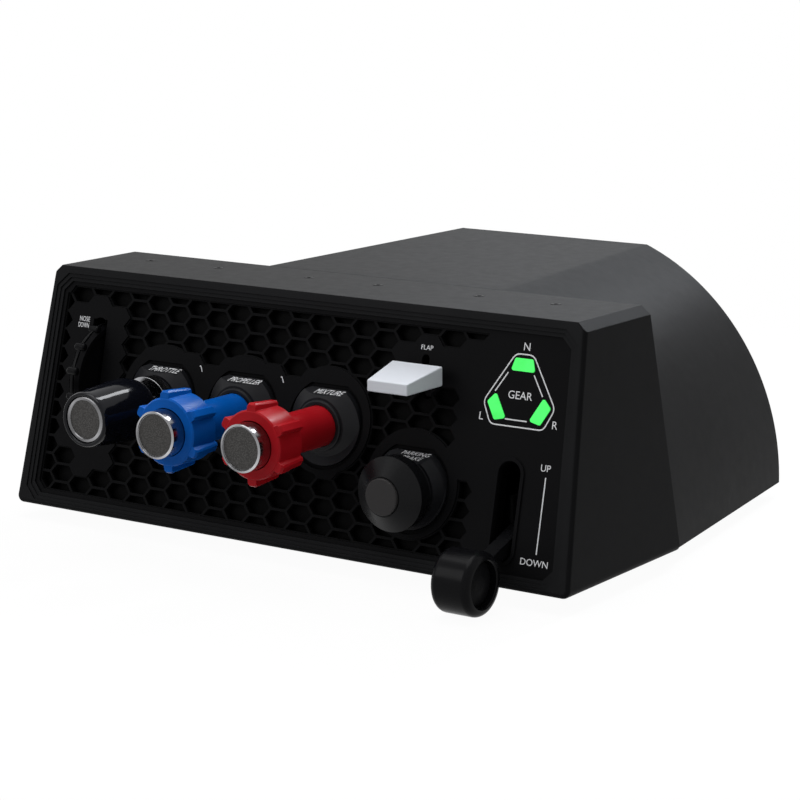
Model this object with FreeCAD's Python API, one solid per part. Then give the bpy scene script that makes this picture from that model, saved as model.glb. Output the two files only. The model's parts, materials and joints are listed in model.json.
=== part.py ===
import FreeCAD, Part
import math
import os
from FreeCAD import Vector, Placement, Rotation

# Push-pull engine control panel ("throttle quadrant") for a desk-top flight trainer.
# Millimetres. X to the pilot's right, Y away from the pilot, Z up. The model is laid out in
# housing coordinates: Y = 0 on the top front edge, Z = 0 on the lower rim. Every piece is
# moved at the end, so that the origin is below the middle of the whole, on the desk.

# ---- housing -------------------------------------------------------------------------
TOP_WIDTH = 349.5
BASE_WIDTH = 367.0
HEIGHT = 134.3
TOP_DEPTH = 64.0
LENGTH = 263.5            # top front edge to the rear wall
FACE_TILT = 12.47         # the front leans back by this many degrees
BACK_TILT = 9.8           # the cheeks' rear edges lean the same way
WALL = 3.0
TOP_CORNER = 4.75         # bevel along both upper side edges
EDGE_ROUND = 0.9
CHEEK_ROUND = 4.0         # lower edges of the cheeks
SILL_ROUND = 2.6          # lower front edge
REAR_ROUND = 3.0          # edges of the rear wall
GAP = 0.3                 # between bodies and at seats
REAR_WINDOW = (-60.0, 108.0)  # opening from the front housing into the rear one, in X
WINDOW_LOW = 12.0
WINDOW_DROP = 21.3        # from the top down to the window
REAR_SCREW_LEFT = -65.8   # screws joining the two housings
REAR_SCREW_RIGHT = 172.0
REAR_SCREW_TOP = 40.0
REAR_SCREW_LOW = 20.0

# ---- front frame and panel (on the tilted face: x across, v up along it) ---------------
LIP = 2.2                 # thickness of the frame round the opening
OPENING_TOP = 129.3
OPENING_LOW = 7.8
OPENING_HALF = 167.0      # half width at the top of the opening
OPENING_FLARE = 0.045     # widening per mm on the way down
OPENING_CORNER = 5.5
STEP_RING = 4.2           # width of the stepped band round the opening
STEP_DEPTH = 0.8
PANEL_LAP = 3.0           # how far the panel reaches behind the lip
PANEL_THICK = 9.5
RELIEF = 1.1              # honeycomb ribs lie this far below the plain zones
CELL_DEPTH = 4.6
CELL_PITCH_X = 13.92
CELL_PITCH_V = 10.21
CELL_HALF = 9.0           # centre of a cell to its side corner
RIB = 1.5
CELL_X0 = -1.2
CELL_V0 = 117.5
BORDER = 2.3              # plain border inside the opening
SLIVER = 9.0              # a clipped cell smaller than this area is left plain

# ---- push-pull controls --------------------------------------------------------------
AXIS_Z = 67.3
CONTROL_X0 = -88.5        # throttle
CONTROL_PITCH = 56.0      # throttle, propeller, mixture
BRAKE_X = 81.5
BRAKE_Z = 41.8
REACH = 85.6              # vernier cap faces in front of the top front edge
COLLAR_BASE_R = 22.0
COLLAR_NOSE_R = 15.0
COLLAR_FRONT_Y = -18.6
COLLAR_LIP = 1.4          # length of the round lip on the nose
COLLAR_GROOVE = 2.2
COLLAR_GROOVE_DEPTH = 1.6
COLLAR_SEAT = 2.5         # how deep the collar sits in the panel
FLAT_RISE = 19.0          # height of the label facet above the axis, at its rear edge
FACET_SLOPE = 17.0
ZONE_R = 28.5             # plain zone round a collar
ZONE_UP = 1.8
SHAFT_R = 4.0
FIT = 0.05                # running clearance of a shaft, radial
BARREL_R = 7.0
BARREL_FRONT_Y = -8.0
SLEEVE_R = 11.0
SLEEVE_WALL = 3.2

# ---- vernier knobs -------------------------------------------------------------------
CAP_R = 12.6
CAP_RIM = 1.5
CAP_DISH = 1.0
BUTTON_STAND = 9.4        # the button stands out of the knob by this much
BUTTON_TRAVEL = 3.0
KNOB_FACE_R = 18.3
KNOB_R = 21.9             # over the ridges, at the front
KNOB_BACK_R = 20.4        # over the ridges, at the back
KNOB_LENGTH = 20.5
RIDGES = 6
RIDGE_WIDTH = 6.2
RIDGE_HEIGHT = 5.2        # from its root inside the knob to its crest
RIDGE_PHASE = {"propeller": 32.5, "mixture": 30.0}
SLEEVE_SHOW = 36.0        # sleeve seen between knob and collar
VERNIER_OUT = 22.0

# ---- throttle ------------------------------------------------------------------------
THROTTLE_FACE_Y = -76.2
THROTTLE_LENGTH = 44.0
THROTTLE_R = 17.2
THROTTLE_FRONT_R = 15.0
THROTTLE_BACK_R = 13.6
THROTTLE_CAP_R = 11.9
FERRULE_R = 15.2
FERRULE_LENGTH = 7.0

# ---- parking brake -------------------------------------------------------------------
BRAKE_FACE_Y = -44.4
BRAKE_R = 19.8
BRAKE_LENGTH = 17.0
BRAKE_CONE = 6.5
BRAKE_DISC_R = 9.7
BRAKE_COLLAR_FRONT_Y = -26.6
BRAKE_COLLAR_NOSE_R = 19.0
BRAKE_OUT = 22.0

# ---- landing gear lever --------------------------------------------------------------
GEAR_X = TOP_WIDTH / 2 - 34.45
GEAR_SLOT_HALF = 6.6
GEAR_SLOT_LOW = 13.2
GEAR_SLOT_TOP = 64.6
GEAR_RIM = 1.9
GEAR_RIM_HEIGHT = 0.9
GEAR_PIVOT_Z = 30.4
GEAR_PIVOT_DEPTH = 35.87      # behind the face, level
GEAR_ARM = 71.6
GEAR_DROP = 17.2              # the arm points this far below the horizontal when DOWN
GEAR_ARM_WIDTH = 9.0
GEAR_ARM_THICK = 6.0
TYRE_R = 16.6
TYRE_WIDTH = 22.8
TYRE_ROUND = 4.0
HUB_R = 12.0
HUB_DISH = 5.8

# ---- flap paddle ---------------------------------------------------------------------
FLAP_X = 81.5
FLAP_SLOT_HALF = 2.3
FLAP_SLOT_LOW = 89.6
FLAP_SLOT_TOP = 112.6
FLAP_FRONT_Y = -38.8
FLAP_BACK_Y = -10.9
FLAP_FRONT_Z = (94.5, 100.6)
FLAP_BACK_Z = (95.7, 106.1)
FLAP_FRONT_HALF = 12.3
FLAP_BACK_HALF = 15.6
FLAP_PIVOT_Z = 95.4
FLAP_PIVOT_DEPTH = 20.6
PADDLE_ROUND = 0.8
FLAP_TONGUE = 4.8             # height of the lever's tongue inside the paddle

# ---- elevator trim wheel -------------------------------------------------------------
TRIM_X = 36.05 - TOP_WIDTH / 2
TRIM_Z = 71.4
TRIM_DEPTH = 17.0             # axle behind the face, level
TRIM_R = 33.0
TRIM_STUD = 1.7           # how far a stud stands out of the rim
STUD_R = 2.3
TRIM_CROWN = 1.8          # the rim is this much lower at its edges
TRIM_STUDS = 14
TRIM_WIDTH = 7.0
TRIM_SLOT_HALF = 5.0
TRIM_SLOT_LOW = 42.8
TRIM_SLOT_TOP = 110.7
TRIM_GEAR = (18, 12)          # teeth of wheel gear and sensor gear
GEAR_MODULE = 1.0

# ---- gear lights ---------------------------------------------------------------------
LIGHT_CENTRE = (TOP_WIDTH / 2 - 34.25, 97.9)  # x, v
LIGHT_DISTANCE = 15.4
LENS = (14.4, 10.4, 6.6)      # inner width, outer width, height
LENS_THICK = 4.0

# ---- fasteners, feet and electronics ---------------------------------------------------
TOP_SCREWS_X = (-139.5, -90.0, -26.5, 20.0, 85.0, 132.0)
TOP_SCREW_Y = 41.8
SCREW_R = 1.5
SCREW_HEAD_R = 3.0
SCREW_HEAD = 1.7
SCREW_LENGTH = 8.0
FOOT_HEIGHT = 8.5
FOOT_R = 11.0
FEET = ((-140.0, 46.0), (140.0, 46.0), (-45.0, 238.0), (108.0, 238.0))
PLATE = 3.0
PLATE_LIFT = 0.8
BOARD = 1.6

TAN_FACE = math.tan(math.radians(FACE_TILT))
SIN_FACE = math.sin(math.radians(FACE_TILT))
COS_FACE = math.cos(math.radians(FACE_TILT))
TAN_BACK = math.tan(math.radians(BACK_TILT))
FACE_FOOT_Y = -HEIGHT * TAN_FACE
BACK_FOOT_Y = TOP_DEPTH + HEIGHT * TAN_BACK
FACE_LENGTH = HEIGHT / COS_FACE
GEAR_PIVOT = (FACE_FOOT_Y + GEAR_PIVOT_Z * TAN_FACE + GEAR_PIVOT_DEPTH, GEAR_PIVOT_Z)
FLAP_PIVOT = (FACE_FOOT_Y + FLAP_PIVOT_Z * TAN_FACE + FLAP_PIVOT_DEPTH, FLAP_PIVOT_Z)
TRIM_CENTRE = (FACE_FOOT_Y + TRIM_Z * TAN_FACE + TRIM_DEPTH, TRIM_Z)
PANEL_RECESS = LIP + GAP
BEHIND_PANEL = PANEL_RECESS + PANEL_THICK + GAP
FACE = Placement(Vector(0, FACE_FOOT_Y, 0), Rotation(Vector(1, 0, 0), 90 - FACE_TILT))
TO_ROW = Vector(0, (REACH - LENGTH) / 2, FOOT_HEIGHT)

pieces = {}


# ---- helpers -------------------------------------------------------------------------
def polygon(points):
    return Part.Face(Part.makePolygon([*points, points[0]]))


def plate(points, low, high):
    """Outline (x, y) raised from z = low to z = high."""
    face = polygon([Vector(x, y, low) for x, y in points])
    return face.extrude(Vector(0, 0, high - low))


def frustum(first, last):
    """Flat-sided solid between two outlines with as many corners each."""
    count = len(first)
    sides = [polygon([first[i], first[(i + 1) % count], last[(i + 1) % count], last[i]]) for i in range(count)]
    skin = Part.makeShell([polygon(first[::-1]), polygon(last), *sides])
    skin.sewShape()
    solid = Part.makeSolid(skin)
    return solid if solid.Volume > 0 else frustum(first[::-1], last[::-1])


def on_face(shape):
    """Move a shape drawn as (x, v, height in front of the face) onto the tilted face."""
    moved = shape.copy()
    moved.Placement = FACE.multiply(moved.Placement)
    return moved


def face_y(z, depth=0.0):
    """Y of the plane that lies depth behind the tilted face, at height z."""
    return FACE_FOOT_Y + z * TAN_FACE + depth / COS_FACE


def face_v(y, z):
    """Height along the tilted face of the point (y, z)."""
    return (y - FACE_FOOT_Y) * SIN_FACE + z * COS_FACE


def back_y(z, depth=0.0):
    return TOP_DEPTH + (HEIGHT - z) * TAN_BACK - depth / math.cos(math.radians(BACK_TILT))


def side_x(z, depth=0.0):
    return TOP_WIDTH / 2 + (BASE_WIDTH - TOP_WIDTH) / 2 * (1 - z / HEIGHT) - depth


def rod(x, z, y0, y1, radius, end_radius=None):
    """Round bar or cone along Y."""
    start = Vector(x, y0, z)
    if end_radius is None:
        return Part.makeCylinder(radius, y1 - y0, start, Vector(0, 1, 0))
    return Part.makeCone(radius, end_radius, y1 - y0, start, Vector(0, 1, 0))


def cross_rod(x0, x1, y, z, radius):
    """Round bar along X."""
    return Part.makeCylinder(radius, x1 - x0, Vector(x0, y, z), Vector(1, 0, 0))


def block(x0, x1, y0, y1, z0, z1):
    return Part.makeBox(x1 - x0, y1 - y0, z1 - z0, Vector(x0, y0, z0))


def turned(profile, origin, axis):
    """Revolve (distance along the axis, radius) points about an axis through origin."""
    wire = Part.makePolygon([Vector(r, 0, a) for a, r in [*profile, profile[0]]])
    solid = Part.Face(wire).revolve(Vector(0, 0, 0), Vector(0, 0, 1), 360)
    solid.Placement = Placement(origin, Rotation(Vector(0, 0, 1), axis))
    return solid


def hex_prism(origin, across, length, axis):
    radius = across / math.sqrt(3)
    corners = [Vector(radius * math.cos(math.radians(60 * i)), radius * math.sin(math.radians(60 * i)), 0)
               for i in range(6)]
    solid = polygon(corners).extrude(Vector(0, 0, length))
    solid.Placement = Placement(origin, Rotation(Vector(0, 0, 1), axis))
    return solid


def slot_prism(x, half, low, top, bottom, height):
    """Upright slot with round ends, drawn on the face, from z = bottom up to height."""
    box = Part.makeBox(2 * half, top - low - 2 * half, height - bottom, Vector(x - half, low + half, bottom))
    ends = [Part.makeCylinder(half, height - bottom, Vector(x, v, bottom)) for v in (low + half, top - half)]
    return box.fuse(ends).removeSplitter()


def keep(name, shape):
    pieces[name] = shape


def group(name, solids):
    pieces[name] = Part.makeCompound(solids)


# ---- outlines on the face --------------------------------------------------------------
def frame_outline(grow):
    """The opening's outline, grown (or shrunk) by an even margin."""
    top = OPENING_TOP + grow
    low = OPENING_LOW - grow
    half_top = OPENING_HALF + grow
    half_low = half_top + OPENING_FLARE * (top - low)
    cut = OPENING_CORNER + 0.4 * grow
    shoulder = half_top + OPENING_FLARE * cut
    heel = half_low - OPENING_FLARE * cut
    return [(-half_low + cut, low), (half_low - cut, low), (heel, low + cut), (shoulder, top - cut),
            (half_top - cut, top), (-half_top + cut, top), (-shoulder, top - cut), (-heel, low + cut)]


def clip(points, window):
    """Part of a convex outline that lies inside a convex window (both anticlockwise)."""
    for (ax, ay), (bx, by) in zip(window, window[1:] + window[:1]):
        kept = []
        for (px, py), (qx, qy) in zip(points, points[1:] + points[:1]):
            side_p = (bx - ax) * (py - ay) - (by - ay) * (px - ax)
            side_q = (bx - ax) * (qy - ay) - (by - ay) * (qx - ax)
            if side_p >= 0:
                kept.append((px, py))
            if side_p * side_q < 0:
                t = side_p / (side_p - side_q)
                kept.append((px + t * (qx - px), py + t * (qy - py)))
        points = kept
        if len(points) < 3:
            return []
    return points


def area(points):
    return sum(px * qy - qx * py for (px, py), (qx, qy) in zip(points, points[1:] + points[:1])) / 2


def cell_outline(x, v, inset):
    """Stretched hexagon about (x, v), its sides moved in by inset."""
    half_v = CELL_PITCH_V / 2
    shoulder = CELL_PITCH_X - CELL_HALF
    slope = math.atan2(half_v, CELL_HALF - shoulder)
    corner = CELL_HALF - inset / math.sin(slope)
    upper = shoulder - inset * math.tan(slope / 2)
    return [(x + corner, v), (x + upper, v + half_v - inset), (x - upper, v + half_v - inset),
            (x - corner, v), (x - upper, v - half_v + inset), (x + upper, v - half_v + inset)]


PLAIN_ZONES = (                       # x from, x to, v from, v to
    (-160.0, -119.5, 35.0, 119.5),    # round the trim wheel
    (-145.0, -119.5, 22.0, 37.0),     # below the trim wheel
    (-103.0, 38.0, 42.8, 93.5),       # between the engine controls
    (60.0, 116.0, 93.5, 120.0),       # behind the flap paddle
    (102.5, 180.0, 50.3, 122.5),      # gear lights, left part
    (118.0, 180.0, 0.0, 140.0),       # gear lights and lever
)


def is_plain(x, v):
    if any(x0 < x < x1 and v0 < v < v1 for x0, x1, v0, v1 in PLAIN_ZONES):
        return True
    return any(math.hypot(x - cx, v - cv) < ZONE_R - CELL_PITCH_V / 2 for cx, cv in zone_centres())


def zone_centres():
    vernier_v = face_v(face_y(AXIS_Z, PANEL_RECESS), AXIS_Z) + ZONE_UP
    brake_v = face_v(face_y(BRAKE_Z, PANEL_RECESS), BRAKE_Z) + ZONE_UP
    return [*[(x, vernier_v) for x in control_xs()], (BRAKE_X, brake_v)]


def control_xs():
    return [CONTROL_X0 + i * CONTROL_PITCH for i in range(3)]


def cell_centres():
    columns = int(OPENING_HALF // CELL_PITCH_X) + 1
    rows = int(OPENING_TOP // CELL_PITCH_V) + 2
    for i in range(-columns, columns + 1):
        for j in range(-2, rows):
            yield CELL_X0 + i * CELL_PITCH_X, CELL_V0 + (i % 2) * CELL_PITCH_V / 2 - j * CELL_PITCH_V


def boundary_faces(outlines):
    """Faces of a patch of touching outlines: edges met twice cancel, the rest are its rims."""
    edges = {}
    for outline in outlines:
        keys = [(round(x, 3), round(v, 3)) for x, v in outline]
        for a, b in zip(keys, keys[1:] + keys[:1]):
            if (b, a) in edges:
                del edges[(b, a)]
            elif a != b:
                edges[(a, b)] = True
    follow = {a: b for a, b in edges}
    faces = []
    while follow:
        start, here = next(iter(follow.items()))
        loop = [start]
        del follow[start]
        while here != start:
            loop.append(here)
            here = follow.pop(here)
        faces.append((area(loop), polygon([Vector(x, v, 0) for x, v in loop])))
    solid_faces = [face for size, face in faces if size > 0]
    holes = [face for size, face in faces if size < 0]
    return [face.cut(holes) if holes else face for face in solid_faces]


# ---- housing -------------------------------------------------------------------------
def hull_between(z0, z1, front, back, side):
    """Solid between the slanting planes given as functions of height."""
    loops = []
    for z in (z0, z1):
        corners = [(-side(z), front(z)), (side(z), front(z)), (side(z), back(z)), (-side(z), back(z))]
        loops.append([Vector(x, y, z) for x, y in corners])
    return frustum(*loops)


def rear_profile(y, inset, low):
    """Upright section of the rear housing: flat top, left wall, round right side."""
    share = (y - TOP_DEPTH) / (LENGTH - TOP_DEPTH)
    left = -70.7 + 2.7 * share + inset
    kink = 85.4 - 22.5 * share
    right = 183.1 - 28.4 * share
    top = HEIGHT - inset
    reach = right - kink
    centre = (right + kink - HEIGHT ** 2 / reach) / 2
    radius = right - centre - inset
    kink_x = centre + math.sqrt(radius ** 2 - top ** 2)
    middle = math.radians(45)
    foot_x = centre + math.sqrt(radius ** 2 - low ** 2)
    arc = Part.Arc(Vector(kink_x, y, top), Vector(centre + radius * math.cos(middle), y, radius * math.sin(middle)),
                   Vector(foot_x, y, low)).toShape()
    lines = Part.makePolygon([Vector(foot_x, y, low), Vector(left, y, low), Vector(left, y, top),
                              Vector(kink_x, y, top)])
    return Part.Wire([*lines.Edges, arc])


def round_edges(shape, chosen, radius):
    return shape.makeFillet(radius, [edge for edge in shape.Edges if chosen(edge)])


def make_front_housing():
    outer = hull_between(0, HEIGHT, face_y, back_y, side_x)
    upper_sides = [edge for edge in outer.Edges
                   if edge.BoundBox.ZMin > HEIGHT - 0.1 and edge.BoundBox.XLength < 0.1]
    outer = outer.makeChamfer(TOP_CORNER, upper_sides)
    lower_sides = lambda edge: edge.BoundBox.ZMax < 0.1 and edge.BoundBox.XLength < 0.1
    outer = round_edges(outer, lower_sides, CHEEK_ROUND)
    front_plane = lambda edge: all(abs(p.Point.y - face_y(p.Point.z)) < 0.01 for p in edge.Vertexes)
    sill = lambda edge: front_plane(edge) and edge.BoundBox.ZMax < 0.1
    outer = round_edges(outer, sill, SILL_ROUND)
    outer = round_edges(outer, lambda edge: front_plane(edge) and edge.BoundBox.ZMax > 1, EDGE_ROUND)
    cavity = hull_between(-1, HEIGHT - WALL, lambda z: face_y(z, LIP), lambda z: back_y(z, WALL),
                          lambda z: side_x(z, WALL))
    shell = outer.cut(cavity)
    opening = on_face(plate(frame_outline(0), -LIP - 5, 5))
    inner_step = on_face(plate(frame_outline(STEP_RING / 2), -2 * STEP_DEPTH, 5))
    outer_step = on_face(plate(frame_outline(STEP_RING), -STEP_DEPTH, 5))
    window = block(*REAR_WINDOW, TOP_DEPTH - 10, BACK_FOOT_Y + 5, WINDOW_LOW, HEIGHT - WINDOW_DROP)
    shell = shell.cut([opening, inner_step, outer_step, window])
    holes = [countersink(x, TOP_SCREW_Y, HEIGHT) for x in TOP_SCREWS_X]
    rear_seats = [rod(x, z, 60, 95, SCREW_R + 0.2) for x, z in rear_screw_places()]
    return shell.cut([*holes, *rear_seats])


def rear_screw_places():
    low = REAR_SCREW_LOW
    return [(REAR_SCREW_LEFT, low), (REAR_SCREW_LEFT, HEIGHT - 24.3), (REAR_SCREW_RIGHT, low),
            (REAR_SCREW_TOP, HEIGHT - 6.3)]


def room_behind_panel():
    return hull_between(-5, HEIGHT, lambda z: face_y(z, BEHIND_PANEL), lambda z: 100, lambda z: 200)


def countersink(x, y, top):
    hole = Part.makeCylinder(SCREW_R + 0.2, 12, Vector(x, y, top - 11))
    head = Part.makeCone(SCREW_R + 0.2, SCREW_HEAD_R + 0.2, SCREW_HEAD + 0.2, Vector(x, y, top - SCREW_HEAD - 0.2))
    return hole.fuse(head)


def make_rear_housing():
    start = TOP_DEPTH
    outer = Part.makeLoft([rear_profile(start, 0, 0), rear_profile(LENGTH, 0, 0)], True, True)
    outer = round_edges(
        outer, lambda edge: edge.BoundBox.YMin > LENGTH - 0.01 and edge.BoundBox.ZMax > 1, REAR_ROUND)
    cavity = Part.makeLoft([rear_profile(start - 1, WALL, -1), rear_profile(LENGTH - WALL, WALL, -1)], True, True)
    shell = outer.cut(cavity)
    ahead = hull_between(-2, HEIGHT + 2, lambda z: -50, lambda z: back_y(z, -GAP), lambda z: 220)
    shell = shell.cut(ahead)
    bosses = [rod(x, z, 70, 125, 4.2) for x, z in rear_screw_places()]
    shell = shell.fuse([boss.cut(ahead).common(cavity.fuse(outer)) for boss in bosses])
    pilots = [rod(x, z, 60, 108, SCREW_R - 0.2) for x, z in rear_screw_places()]
    return shell.cut([*pilots, usb_window()]).removeSplitter()


def usb_window():
    return block(USB_X - 4.9, USB_X + 4.9, LENGTH - WALL - 1, LENGTH + 1, USB_Z - 1.9, USB_Z + 1.9)


USB_X = 40.0
USB_Z = 20.0
USB_HALF = 1.6


def make_base_plates():
    lift = PLATE_LIFT + PLATE
    inner = hull_between(PLATE_LIFT, lift, lambda z: face_y(z, BEHIND_PANEL), lambda z: back_y(z, WALL + GAP),
                         lambda z: side_x(z, WALL + GAP))
    keep("front_base_plate", inner.cut([foot_hole(x, y) for x, y in FEET[:2]]))
    rear = Part.makeLoft([rear_profile(TOP_DEPTH, WALL + GAP, PLATE_LIFT),
                          rear_profile(LENGTH - WALL - GAP, WALL + GAP, PLATE_LIFT)], True, True)
    slab = block(-200, 200, BACK_FOOT_Y + GAP, LENGTH, PLATE_LIFT, lift)
    keep("rear_base_plate", rear.common(slab).cut([foot_hole(x, y) for x, y in FEET[2:]]))


def foot_hole(x, y):
    return Part.makeCylinder(SCREW_R + 0.2, 20, Vector(x, y, -10))


def make_feet():
    feet = []
    screws = []
    for x, y in FEET:
        foot = Part.makeCone(FOOT_R, FOOT_R - 1.2, FOOT_HEIGHT + PLATE_LIFT, Vector(x, y, -FOOT_HEIGHT))
        pocket = Part.makeCylinder(SCREW_HEAD_R + 0.6, 4.0, Vector(x, y, -FOOT_HEIGHT))
        feet.append(foot.cut([pocket, foot_hole(x, y)]))
        head = Part.makeCylinder(SCREW_HEAD_R, 1.8, Vector(x, y, -FOOT_HEIGHT + 2.2))
        screws.append(head.fuse(Part.makeCylinder(SCREW_R, 9.5, Vector(x, y, -FOOT_HEIGHT + 4.0))))
    group("rubber_feet", feet)
    group("foot_screws", screws)


def make_top_screws():
    screws = []
    for x in TOP_SCREWS_X:
        stem = Part.makeCylinder(SCREW_R, SCREW_LENGTH, Vector(x, TOP_SCREW_Y, HEIGHT - SCREW_LENGTH))
        head = Part.makeCone(SCREW_R, SCREW_HEAD_R, SCREW_HEAD, Vector(x, TOP_SCREW_Y, HEIGHT - SCREW_HEAD))
        socket = hex_prism(Vector(x, TOP_SCREW_Y, HEIGHT - 1.1), 2.0, 2.0, Vector(0, 0, 1))
        screws.append(stem.fuse(head).cut(socket))
    group("top_screws", screws)


# ---- front panel -----------------------------------------------------------------------
def make_front_panel():
    flat = -PANEL_RECESS
    rim_v = (0.0, FACE_LENGTH)
    inside = [side_x(v * COS_FACE, WALL + GAP) for v in rim_v]
    cavity = [(-inside[0], rim_v[0]), (inside[0], rim_v[0]), (inside[1], rim_v[1]), (-inside[1], rim_v[1])]
    body = plate(clip(frame_outline(PANEL_LAP), cavity), flat - PANEL_THICK, flat)
    window = frame_outline(-BORDER)
    patches = []
    cells = []
    for x, v in cell_centres():
        patch = clip(cell_outline(x, v, 0), window)
        if is_plain(x, v) or not patch or area(patch) < 2 * SLIVER:
            continue
        patches.append(patch)
        hole = clip(cell_outline(x, v, RIB / 2), frame_outline(-BORDER - RIB / 2))
        if hole and area(hole) > SLIVER:
            cells.append(plate(hole, flat - RELIEF - CELL_DEPTH, flat + 1))
    sunk = [face.extrude(Vector(0, 0, RELIEF + 1)) for face in boundary_faces(patches)]
    for solid in sunk:
        solid.translate(Vector(0, 0, flat - RELIEF))
    body = body.cut([solid.cut(plain_zones(ZONE_R)) for solid in sunk])
    body = body.cut(clear_of_zones(cells))
    rim = slot_prism(GEAR_X, GEAR_SLOT_HALF + GEAR_RIM, GEAR_SLOT_LOW - GEAR_RIM, GEAR_SLOT_TOP + GEAR_RIM,
                     flat - 1, flat + GEAR_RIM_HEIGHT)
    body = body.fuse(rim)
    slots = [slot_prism(GEAR_X, GEAR_SLOT_HALF, GEAR_SLOT_LOW, GEAR_SLOT_TOP, -30, 10),
             slot_prism(TRIM_X, TRIM_SLOT_HALF, TRIM_SLOT_LOW, TRIM_SLOT_TOP, -30, 10),
             slot_prism(FLAP_X, FLAP_SLOT_HALF, FLAP_SLOT_LOW, FLAP_SLOT_TOP, -30, 10)]
    windows = [lens_shape(angle, GAP / 2, -30, 10) for angle in (0, 120, 240)]
    body = on_face(body.cut([*slots, *windows]))
    cy, cz = TRIM_CENTRE
    gear_x = trim_gear_x()
    seats = [cross_rod(TRIM_X - TRIM_SLOT_HALF, TRIM_X + TRIM_SLOT_HALF, cy, cz, TRIM_R + TRIM_STUD + 1.0),
             cross_rod(gear_x - 1, gear_x + 5, cy, cz, TRIM_GEAR[0] * GEAR_MODULE / 2 + 2.0)]
    for x, z in [*[(x, AXIS_Z) for x in control_xs()], (BRAKE_X, BRAKE_Z)]:
        seats.append(collar_seat(x, z, COLLAR_GROOVE, PANEL_RECESS + COLLAR_GROOVE_DEPTH))
        seats.append(collar_seat(x, z, GAP, PANEL_RECESS + COLLAR_SEAT + GAP))
        seats.append(rod(x, z, -60, 40, SLEEVE_R + 1.0))
    return body.cut(seats)


def collar_seat(x, z, margin, depth):
    """Pocket round a collar's foot: a round hole with a flat above, down to depth."""
    centre_v = face_v(face_y(z, PANEL_RECESS), z)
    round_part = Part.makeCylinder(COLLAR_BASE_R + margin, depth + 2, Vector(x, centre_v, -depth))
    above = plate([(x - 60, centre_v + FLAT_RISE + margin), (x + 60, centre_v + FLAT_RISE + margin),
                   (x + 60, centre_v + 90), (x - 60, centre_v + 90)], -depth - 1, 10)
    return on_face(round_part.cut(above))


def plain_zones(radius):
    """Round pillars over the plain zones of the push-pull controls."""
    depth = PANEL_RECESS + PANEL_THICK
    return [Part.makeCylinder(radius, 2 * depth, Vector(x, v, -depth)) for x, v in zone_centres()]


def clear_of_zones(cells):
    """The cells without what reaches into a plain zone, and without the slivers left there."""
    pillars = plain_zones(ZONE_R + RIB / 2)
    parts = [solid for cell in cells for solid in cell.cut(pillars).Solids]
    return [solid for solid in parts if solid.Volume > SLIVER * CELL_DEPTH]


def lens_shape(angle, margin, bottom, top):
    inner, outer, height = LENS
    low = LIGHT_DISTANCE - height / 2 - margin
    high = LIGHT_DISTANCE + height / 2 + margin
    points = [(-inner / 2 - margin, low), (inner / 2 + margin, low), (outer / 2 + margin, high),
              (-outer / 2 - margin, high)]
    solid = plate(points, bottom, top)
    upright = [edge for edge in solid.Edges if edge.BoundBox.ZLength > 1]
    solid = solid.makeFillet(1.2, upright)
    solid.rotate(Vector(0, 0, 0), Vector(0, 0, 1), angle)
    solid.translate(Vector(LIGHT_CENTRE[0], LIGHT_CENTRE[1], 0))
    return solid


def make_lights():
    front = -PANEL_RECESS + 0.2
    for name, angle in (("nose", 0), ("left", 120), ("right", 240)):
        keep(f"gear_light_{name}", on_face(lens_shape(angle, 0, front - PANEL_THICK - 0.2, front)))
    back = -BEHIND_PANEL
    cx, cv = LIGHT_CENTRE
    board = plate([(cx - 24, cv - 20), (cx + 24, cv - 20), (cx + 24, cv + 24), (cx - 24, cv + 24)],
                  back - BOARD, back)
    keep("gear_light_board", on_face(board))


# ---- collars, guide barrels and carrier ------------------------------------------------
def make_collar(x, z, front_y, nose_r, bore_r):
    """Cone square to the control's axis, its foot let into the tilted panel, label facet on top."""
    seat = PANEL_RECESS + COLLAR_SEAT
    foot = COLLAR_BASE_R
    centre_v = face_v(face_y(z, PANEL_RECESS), z)
    foot_disc = on_face(Part.makeCylinder(foot, COLLAR_SEAT, Vector(x, centre_v, -seat)))
    top_plane = face_y(z, PANEL_RECESS)
    rear_y = top_plane + foot * TAN_FACE + 1.0
    cone_top = foot - 0.2
    lip = COLLAR_LIP
    shoulder_y = front_y + lip
    cone = rod(x, z, shoulder_y, rear_y, nose_r, cone_top + (rear_y - top_plane) * (cone_top - nose_r)
               / (top_plane - shoulder_y))
    nose_lip = turned([(0, 0), (0, nose_r - 2.0), (0.4, nose_r - 1.4), (1.0, nose_r - 1.2), (lip + 1, nose_r - 1.2),
                       (lip + 1, 0)], Vector(x, front_y, z), Vector(0, 1, 0))
    behind = on_face(plate([(x - 60, centre_v - 80), (x + 60, centre_v - 80), (x + 60, centre_v + 80),
                            (x - 60, centre_v + 80)], -60, -PANEL_RECESS))
    outside = on_face(Part.makeCylinder(foot + 30, 60, Vector(x, centre_v, -seat)).cut(
        Part.makeCylinder(foot, 60, Vector(x, centre_v, -seat))))
    body = cone.cut([behind, outside]).fuse([foot_disc, nose_lip])
    edge = on_face(Part.makeBox(0.1, 0.1, 0.1, Vector(x, centre_v + FLAT_RISE, -PANEL_RECESS))).BoundBox
    facet = Part.makeBox(120, 60, 60, Vector(x - 60, -60, 0))
    facet.rotate(Vector(0, 0, 0), Vector(1, 0, 0), FACET_SLOPE)
    facet.translate(Vector(0, edge.YMin, edge.ZMin))
    wall = on_face(plate([(x - 60, centre_v + FLAT_RISE), (x + 60, centre_v + FLAT_RISE),
                          (x + 60, centre_v + 90), (x - 60, centre_v + 90)], -20, 60))
    body = body.cut([facet, wall])
    return body.cut(rod(x, z, front_y - 5, 40, bore_r)).removeSplitter()


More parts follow.
